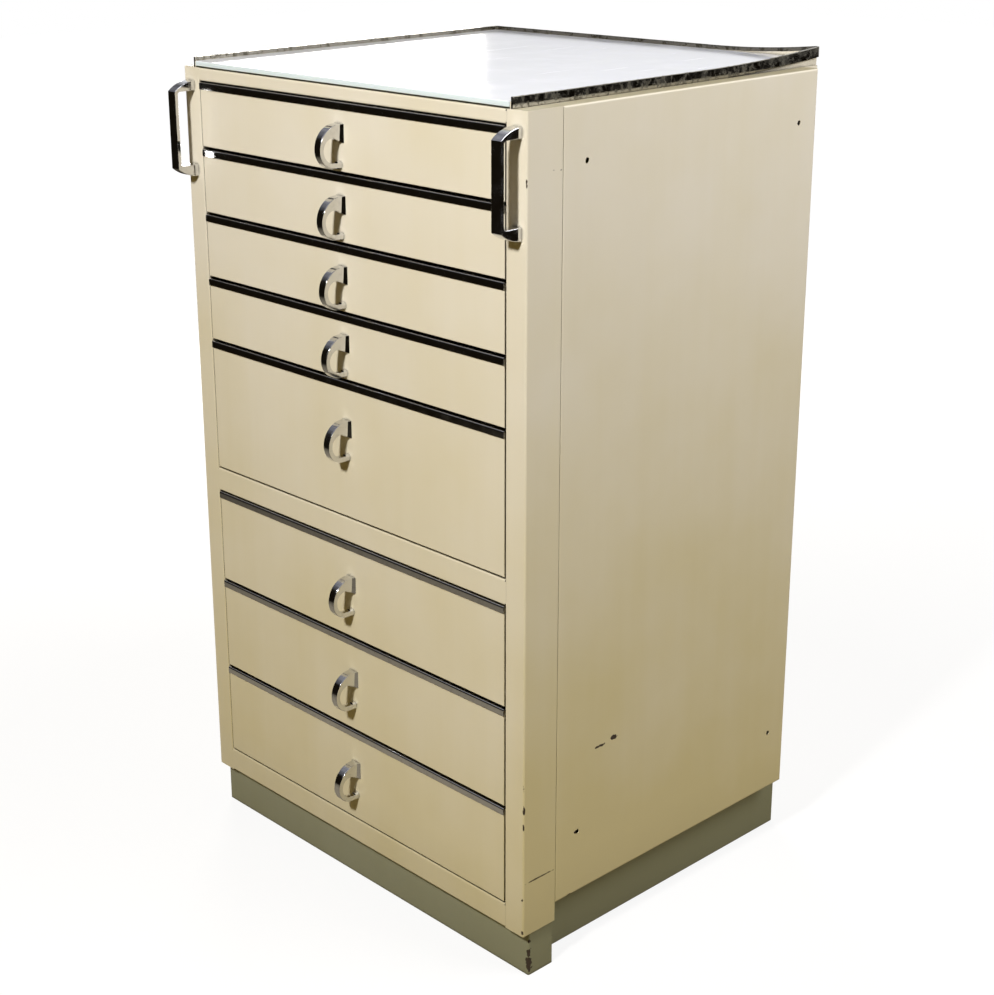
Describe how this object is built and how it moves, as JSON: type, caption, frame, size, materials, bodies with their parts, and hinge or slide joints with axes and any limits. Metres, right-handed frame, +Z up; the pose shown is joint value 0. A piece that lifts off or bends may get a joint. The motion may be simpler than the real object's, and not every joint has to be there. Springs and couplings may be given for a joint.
{
  "type": "dental cabinet",
  "caption": "Floor-standing painted steel cabinet with eight drawers, chrome pulls and trims, two towel handles and a railed glass worktop.",
  "frame": {"origin": "on the floor, under the middle of the whole cabinet", "axes": "+X to the cabinet's right as the picture shows it from the front, +Y to its back, +Z up"},
  "size_m": [0.5264, 0.4892, 0.921],
  "materials": {
    "cream_enamel": "semi-gloss",
    "inner_enamel": "satin",
    "plinth_enamel": "semi-gloss",
    "chrome": "polished",
    "opal_glass": "polished",
    "screw_steel": "zinc plated"
  },
  "bodies": {
    "carcass": {"back_panel": "cream_enamel", "floor_pan": "inner_enamel", "frame_bottom_rail": "cream_enamel", "frame_mid_rail": "cream_enamel", "frame_stile_left": "cream_enamel", "frame_stile_right": "cream_enamel", "frame_top_rail": "cream_enamel", "gallery_rail": "chrome", "glass_top": "opal_glass", "handle_screws": "screw_steel", "inner_liner_left": "inner_enamel", "inner_liner_right": "inner_enamel", "plinth_back": "plinth_enamel", "plinth_front": "plinth_enamel", "plinth_side_left": "plinth_enamel", "plinth_side_right": "plinth_enamel", "runner_channels_left": "inner_enamel", "runner_channels_right": "inner_enamel", "side_panel_left": "cream_enamel", "side_panel_right": "cream_enamel", "top_deck": "cream_enamel", "towel_handle_left": "chrome", "towel_handle_right": "chrome"},
    "drawer_1": {"drawer_1_box": "inner_enamel", "drawer_1_front": "cream_enamel", "drawer_1_pull": "chrome", "drawer_1_trim": "chrome"},
    "drawer_2": {"drawer_2_box": "inner_enamel", "drawer_2_front": "cream_enamel", "drawer_2_pull": "chrome", "drawer_2_trim": "chrome"},
    "drawer_3": {"drawer_3_box": "inner_enamel", "drawer_3_front": "cream_enamel", "drawer_3_pull": "chrome", "drawer_3_trim": "chrome"},
    "drawer_4": {"drawer_4_box": "inner_enamel", "drawer_4_front": "cream_enamel", "drawer_4_pull": "chrome", "drawer_4_trim": "chrome"},
    "drawer_5": {"drawer_5_box": "inner_enamel", "drawer_5_front": "cream_enamel", "drawer_5_pull": "chrome", "drawer_5_trim": "chrome"},
    "drawer_6": {"drawer_6_box": "inner_enamel", "drawer_6_front": "cream_enamel", "drawer_6_pull": "chrome", "drawer_6_trim": "chrome"},
    "drawer_7": {"drawer_7_box": "inner_enamel", "drawer_7_front": "cream_enamel", "drawer_7_pull": "chrome", "drawer_7_trim": "chrome"},
    "drawer_8": {"drawer_8_box": "inner_enamel", "drawer_8_front": "cream_enamel", "drawer_8_pull": "chrome", "drawer_8_trim": "chrome"}
  },
  "joints": [
    {"name": "drawer_1_slide", "type": "slide", "parent": "carcass", "child": "drawer_1", "axis": [0, -1, 0], "range_m": [0, 0.3]},
    {"name": "drawer_2_slide", "type": "slide", "parent": "carcass", "child": "drawer_2", "axis": [0, -1, 0], "range_m": [0, 0.3]},
    {"name": "drawer_3_slide", "type": "slide", "parent": "carcass", "child": "drawer_3", "axis": [0, -1, 0], "range_m": [0, 0.3]},
    {"name": "drawer_4_slide", "type": "slide", "parent": "carcass", "child": "drawer_4", "axis": [0, -1, 0], "range_m": [0, 0.3]},
    {"name": "drawer_5_slide", "type": "slide", "parent": "carcass", "child": "drawer_5", "axis": [0, -1, 0], "range_m": [0, 0.3]},
    {"name": "drawer_6_slide", "type": "slide", "parent": "carcass", "child": "drawer_6", "axis": [0, -1, 0], "range_m": [0, 0.3]},
    {"name": "drawer_7_slide", "type": "slide", "parent": "carcass", "child": "drawer_7", "axis": [0, -1, 0], "range_m": [0, 0.3]},
    {"name": "drawer_8_slide", "type": "slide", "parent": "carcass", "child": "drawer_8", "axis": [0, -1, 0], "range_m": [0, 0.3]}
  ]
}
